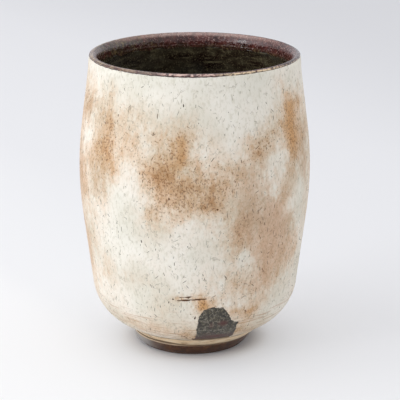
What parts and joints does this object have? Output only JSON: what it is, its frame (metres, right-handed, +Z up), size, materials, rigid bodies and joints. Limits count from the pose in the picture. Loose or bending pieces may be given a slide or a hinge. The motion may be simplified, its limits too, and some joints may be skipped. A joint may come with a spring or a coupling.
{
  "type": "yunomi tea cup",
  "caption": "Tall handleless tea cup of dark stoneware with a bulging wall, white slip outside, dark glaze inside and a small trimmed foot ring.",
  "frame": {"origin": "on the table at the cup's axis, at the bottom of the foot ring", "axes": "+Z up along the cup's axis, -Y towards the front with the finger mark, +X to the right as seen from the front"},
  "size_m": [0.08, 0.08, 0.103],
  "materials": {
    "dark_clay": "bare fired iron-bearing stoneware, matt and slightly gritty",
    "foot_clay": "bare fired stoneware, worn smooth on the resting face",
    "white_slip": "white slip under a thin satin glaze, with peach to red-brown blushes and iron specks",
    "green_black_glaze": "thin mottled green-black glaze over bare clay",
    "red_brown_glaze": "glossy red-brown iron glaze",
    "olive_black_glaze": "glossy olive-black glaze with soft mottling",
    "ochre_band": "thin cream to ochre glaze on the trimmed facet",
    "iron_glaze": "glossy dark brown iron glaze"
  },
  "bodies": {
    "root": {"clay_body": "dark_clay", "foot_ring": "foot_clay", "slip_coat": "white_slip", "finger_mark": "green_black_glaze", "lip_glaze": "red_brown_glaze", "liner_glaze": "olive_black_glaze", "trimmed_band": "ochre_band", "foot_glaze": "iron_glaze"}
  },
  "joints": []
}
